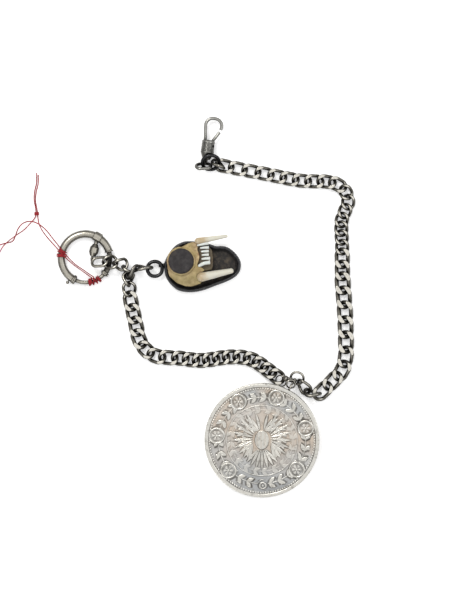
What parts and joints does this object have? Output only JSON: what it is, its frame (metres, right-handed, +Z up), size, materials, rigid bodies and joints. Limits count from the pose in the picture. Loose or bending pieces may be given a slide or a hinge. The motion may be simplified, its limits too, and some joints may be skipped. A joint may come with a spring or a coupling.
{
  "type": "pocket watch chain",
  "caption": "Silver curb-link pocket watch chain laid flat, with a sprung watch clip, a button ring, a jaw pendant in a metal tray and a hanging coin.",
  "frame": {"origin": "on the floor under the middle of the laid-out chain without its tag thread", "axes": "+Z up from the floor, +Y from the coin towards the watch clip, +X from the button ring towards the long run"},
  "size_m": [0.1143, 0.1192, 0.0068],
  "materials": {
    "dark_silver": "oxidised silver with bright filed flats",
    "bright_silver": "worn polished silver",
    "steel": "satin metal",
    "coin_silver": "toned struck silver",
    "black_metal": "blackened metal",
    "bone": "dry porous bone",
    "tooth": "smooth tooth enamel",
    "white_tooth": "white enamel",
    "red_thread": "cotton thread"
  },
  "bodies": {
    "hanger": {"hanger_bar": "dark_silver", "hanger_eye": "dark_silver", "hanger_ring": "dark_silver", "hanger_drop": "dark_silver"},
    "coin": {"coin": "coin_silver", "coin_bail": "coin_silver"},
    "ring": {"ring_tube": "bright_silver", "ring_tail": "bright_silver", "ring_collar": "bright_silver", "thread_short": "red_thread", "thread_long": "red_thread", "thread_knot": "red_thread", "thread_hitch": "red_thread"},
    "swivel": {"swivel_eye": "bright_silver", "swivel_bead": "bright_silver"},
    "pendant": {"pendant_tray": "black_metal", "pendant_eye": "black_metal", "jaw_bone": "bone", "jaw_disc": "black_metal", "canines": "tooth", "incisors": "white_tooth"},
    "clip_body": {"clip_body": "steel", "clip_gate_pin": "steel"},
    "branch_link_1": {"branch_link_1": "dark_silver"},
    "branch_link_2": {"branch_link_2": "dark_silver"},
    "clip_bow": {"clip_bow": "steel"},
    "clip_gate": {"clip_gate": "steel"},
    "clip_ring": {"clip_ring": "black_metal"},
    "hanger_link": {"hanger_link": "dark_silver"},
    "left_link_01": {"left_link_01": "dark_silver"},
    "left_links_02_03": {"left_links_02_03": "dark_silver"},
    "left_links_04_05": {"left_links_04_05": "dark_silver"},
    "left_links_06_07": {"left_links_06_07": "dark_silver"},
    "left_links_08_09": {"left_links_08_09": "dark_silver"},
    "left_links_10_11": {"left_links_10_11": "dark_silver"},
    "left_links_12_13": {"left_links_12_13": "dark_silver"},
    "left_links_14_15": {"left_links_14_15": "dark_silver"},
    "left_links_16_17": {"left_links_16_17": "dark_silver"},
    "left_links_18_19": {"left_links_18_19": "dark_silver"},
    "left_links_20_21": {"left_links_20_21": "dark_silver"},
    "left_links_22_23": {"left_links_22_23": "dark_silver"},
    "right_link_00": {"right_link_00": "dark_silver"},
    "right_link_29": {"right_link_29": "dark_silver"},
    "right_links_01_02": {"right_links_01_02": "dark_silver"},
    "right_links_03_04": {"right_links_03_04": "dark_silver"},
    "right_links_05_06": {"right_links_05_06": "dark_silver"},
    "right_links_07_08": {"right_links_07_08": "dark_silver"},
    "right_links_09_10": {"right_links_09_10": "dark_silver"},
    "right_links_11_12": {"right_links_11_12": "dark_silver"},
    "right_links_13_14": {"right_links_13_14": "dark_silver"},
    "right_links_15_16": {"right_links_15_16": "dark_silver"},
    "right_links_17_18": {"right_links_17_18": "dark_silver"},
    "right_links_19_20": {"right_links_19_20": "dark_silver"},
    "right_links_21_22": {"right_links_21_22": "dark_silver"},
    "right_links_23_24": {"right_links_23_24": "dark_silver"},
    "right_links_25_26": {"right_links_25_26": "dark_silver"},
    "right_links_27_28": {"right_links_27_28": "dark_silver"},
    "ring_bolt": {"ring_bolt": "bright_silver"},
    "swivel_loop": {"swivel_loop": "bright_silver"}
  },
  "joints": [
    {"name": "hanger_link_swing", "type": "hinge", "parent": "hanger", "child": "hanger_link", "pos_m": [0.02931, -0.02347, 0.00268], "axis": [0, 0, 1], "range_deg": [-18, 8]},
    {"name": "link_29_swing", "type": "hinge", "parent": "hanger_link", "child": "right_link_29", "pos_m": [0.0317, -0.0258, 0.00263], "axis": [0, 0, -1], "range_deg": [-7, 18]},
    {"name": "right_27_28_bend", "type": "hinge", "parent": "right_link_29", "child": "right_links_27_28", "pos_m": [0.03469, -0.02651, 0.00197], "axis": [0, 0, 1], "range_deg": [-18, 18]},
    {"name": "right_25_26_bend", "type": "hinge", "parent": "right_links_27_28", "child": "right_links_25_26", "pos_m": [0.04089, -0.02151, 0.00117], "axis": [0, 0, -1], "range_deg": [-14, 18]},
    {"name": "right_23_24_bend", "type": "hinge", "parent": "right_links_25_26", "child": "right_links_23_24", "pos_m": [0.04356, -0.01327, 0.00116], "axis": [0, 0, 1], "range_deg": [-18, 18]},
    {"name": "right_21_22_bend", "type": "hinge", "parent": "right_links_23_24", "child": "right_links_21_22", "pos_m": [0.04341, -0.00392, 0.00115], "axis": [0, 0, -1], "range_deg": [-18, 18]},
    {"name": "right_19_20_bend", "type": "hinge", "parent": "right_links_21_22", "child": "right_links_19_20", "pos_m": [0.04279, 0.00531, 0.00115], "axis": [0, 0, 1], "range_deg": [-18, 18]},
    {"name": "right_17_18_bend", "type": "hinge", "parent": "right_links_19_20", "child": "right_links_17_18", "pos_m": [0.04247, 0.01342, 0.0011], "axis": [0, 0, -1], "range_deg": [-18, 18]},
    {"name": "right_15_16_bend", "type": "hinge", "parent": "right_links_17_18", "child": "right_links_15_16", "pos_m": [0.04235, 0.02034, 0.00108], "axis": [0, 0, 1], "range_deg": [-18, 18]},
    {"name": "right_13_14_bend", "type": "hinge", "parent": "right_links_15_16", "child": "right_links_13_14", "pos_m": [0.04224, 0.02595, 0.00108], "axis": [0, 0, -1], "range_deg": [-18, 16]},
    {"name": "right_11_12_bend", "type": "hinge", "parent": "right_links_13_14", "child": "right_links_11_12", "pos_m": [0.04381, 0.0315, 0.00108], "axis": [0, 0, 1], "range_deg": [-18, 6]},
    {"name": "right_09_10_bend", "type": "hinge", "parent": "right_links_11_12", "child": "right_links_09_10", "pos_m": [0.04231, 0.03721, 0.00107], "axis": [0, 0, -1], "range_deg": [-2, 18]},
    {"name": "right_07_08_bend", "type": "hinge", "parent": "right_links_09_10", "child": "right_links_07_08", "pos_m": [0.03561, 0.03938, 0.00106], "axis": [0, 0, 1], "range_deg": [-18, 18]},
    {"name": "right_05_06_bend", "type": "hinge", "parent": "right_links_07_08", "child": "right_links_05_06", "pos_m": [0.02789, 0.03993, 0.00106], "axis": [0, 0, -1], "range_deg": [-18, 18]},
    {"name": "right_03_04_bend", "type": "hinge", "parent": "right_links_05_06", "child": "right_links_03_04", "pos_m": [0.0201, 0.04141, 0.00106], "axis": [0, 0, 1], "range_deg": [-18, 18]},
    {"name": "right_01_02_bend", "type": "hinge", "parent": "right_links_03_04", "child": "right_links_01_02", "pos_m": [0.01189, 0.04301, 0.00106], "axis": [0, 0, -1], "range_deg": [-18, 18]},
    {"name": "link_00_swing", "type": "hinge", "parent": "right_links_01_02", "child": "right_link_00", "pos_m": [0.00462, 0.0445, 0.00151], "axis": [0, 0, 1], "range_deg": [-1, 4]},
    {"name": "clip_ring_swing", "type": "hinge", "parent": "right_link_00", "child": "clip_ring", "pos_m": [0.00247, 0.04501, 0.00251], "axis": [0, 0, -1], "range_deg": [0, 4]},
    {"name": "clip_bow_swing", "type": "hinge", "parent": "clip_ring", "child": "clip_bow", "pos_m": [0.00014, 0.04471, 0.00258], "axis": [0, 0, 1], "range_deg": [-3, 3]},
    {"name": "clip_spin", "type": "hinge", "parent": "clip_bow", "child": "clip_body", "pos_m": [-0.00013, 0.04621, 0.0021], "axis": [0.1288, 0.9917, 0], "range_deg": [-180, 180]},
    {"name": "left_22_23_bend", "type": "hinge", "parent": "hanger", "child": "left_links_22_23", "pos_m": [0.02259, -0.02237, 0.00129], "axis": [0, 0, -1], "range_deg": [-18, 18]},
    {"name": "left_20_21_bend", "type": "hinge", "parent": "left_links_22_23", "child": "left_links_20_21", "pos_m": [0.0181, -0.01885, 0.00113], "axis": [0, 0, 1], "range_deg": [-18, 18]},
    {"name": "left_18_19_bend", "type": "hinge", "parent": "left_links_20_21", "child": "left_links_18_19", "pos_m": [0.01253, -0.01603, 0.00113], "axis": [0, 0, -1], "range_deg": [-16, 18]},
    {"name": "left_16_17_bend", "type": "hinge", "parent": "left_links_18_19", "child": "left_links_16_17", "pos_m": [0.00604, -0.01573, 0.00113], "axis": [0, 0, 1], "range_deg": [-18, 18]},
    {"name": "left_14_15_bend", "type": "hinge", "parent": "left_links_16_17", "child": "left_links_14_15", "pos_m": [-0.00021, -0.01653, 0.00113], "axis": [0, 0, -1], "range_deg": [-18, 18]},
    {"name": "left_12_13_bend", "type": "hinge", "parent": "left_links_14_15", "child": "left_links_12_13", "pos_m": [-0.00662, -0.01622, 0.00113], "axis": [0, 0, 1], "range_deg": [-18, 18]},
    {"name": "left_10_11_bend", "type": "hinge", "parent": "left_links_12_13", "child": "left_links_10_11", "pos_m": [-0.0139, -0.01553, 0.00115], "axis": [0, 0, -1], "range_deg": [-18, 18]},
    {"name": "left_08_09_bend", "type": "hinge", "parent": "left_links_10_11", "child": "left_links_08_09", "pos_m": [-0.02014, -0.01159, 0.00113], "axis": [0, 0, 1], "range_deg": [-6, 18]},
    {"name": "left_06_07_bend", "type": "hinge", "parent": "left_links_08_09", "child": "left_links_06_07", "pos_m": [-0.02251, -0.00401, 0.0011], "axis": [0, 0, -1], "range_deg": [-18, 18]},
    {"name": "left_04_05_bend", "type": "hinge", "parent": "left_links_06_07", "child": "left_links_04_05", "pos_m": [-0.02399, 0.00379, 0.00136], "axis": [0, 0, 1], "range_deg": [-18, 18]},
    {"name": "left_02_03_bend", "type": "hinge", "parent": "left_links_04_05", "child": "left_links_02_03", "pos_m": [-0.02471, 0.00995, 0.00242], "axis": [0, 0, -1], "range_deg": [-5, 8]},
    {"name": "left_01_bend", "type": "hinge", "parent": "left_links_02_03", "child": "left_link_01", "pos_m": [-0.02857, 0.01384, 0.00343], "axis": [0, 0, 1], "range_deg": [-18, 18]},
    {"name": "swivel_loop_swing", "type": "hinge", "parent": "left_link_01", "child": "swivel_loop", "pos_m": [-0.03166, 0.01458, 0.00415], "axis": [0, 0, -1], "range_deg": [-18, 18]},
    {"name": "swivel_spin", "type": "hinge", "parent": "swivel_loop", "child": "swivel", "pos_m": [-0.03417, 0.02195, 0.0015], "axis": [0.2588, 0.9659, 0], "range_deg": [0, 15]},
    {"name": "ring_tilt", "type": "hinge", "parent": "swivel", "child": "ring", "pos_m": [-0.03417, 0.02195, 0.0015], "axis": [0.8686, -0.4955, 0], "range_deg": [0, 30]},
    {"name": "branch_1_swing", "type": "hinge", "parent": "left_links_02_03", "child": "branch_link_1", "pos_m": [-0.02399, 0.01116, 0.00286], "axis": [0, 0, 1], "range_deg": [-4, 3]},
    {"name": "branch_2_swing", "type": "hinge", "parent": "branch_link_1", "child": "branch_link_2", "pos_m": [-0.02135, 0.01182, 0.00298], "axis": [0, 0, -1], "range_deg": [-18, 9]},
    {"name": "pendant_swing", "type": "hinge", "parent": "branch_link_2", "child": "pendant", "pos_m": [-0.01737, 0.01218, 0.00244], "axis": [0, 0, 1], "range_deg": [-18, 18]},
    {"name": "clip_gate_open", "type": "hinge", "parent": "clip_body", "child": "clip_gate", "pos_m": [0.0014, 0.05136, 0.0021], "axis": [0, 0, 1], "range_deg": [0, 30], "stiffness_Nm_per_rad": 0.004, "springref_deg": -17.19},
    {"name": "ring_bolt_slide", "type": "hinge", "parent": "ring", "child": "ring_bolt", "pos_m": [-0.03794, 0.01534, 0.0015], "axis": [0, 0, -1], "range_deg": [0, 40], "stiffness_Nm_per_rad": 0.006, "springref_deg": -22.92},
    {"name": "coin_lift", "type": "hinge", "parent": "hanger", "child": "coin", "pos_m": [0.02629, -0.02519, 0.0044], "axis": [-1, 0, 0], "range_deg": [0, 35]}
  ]
}
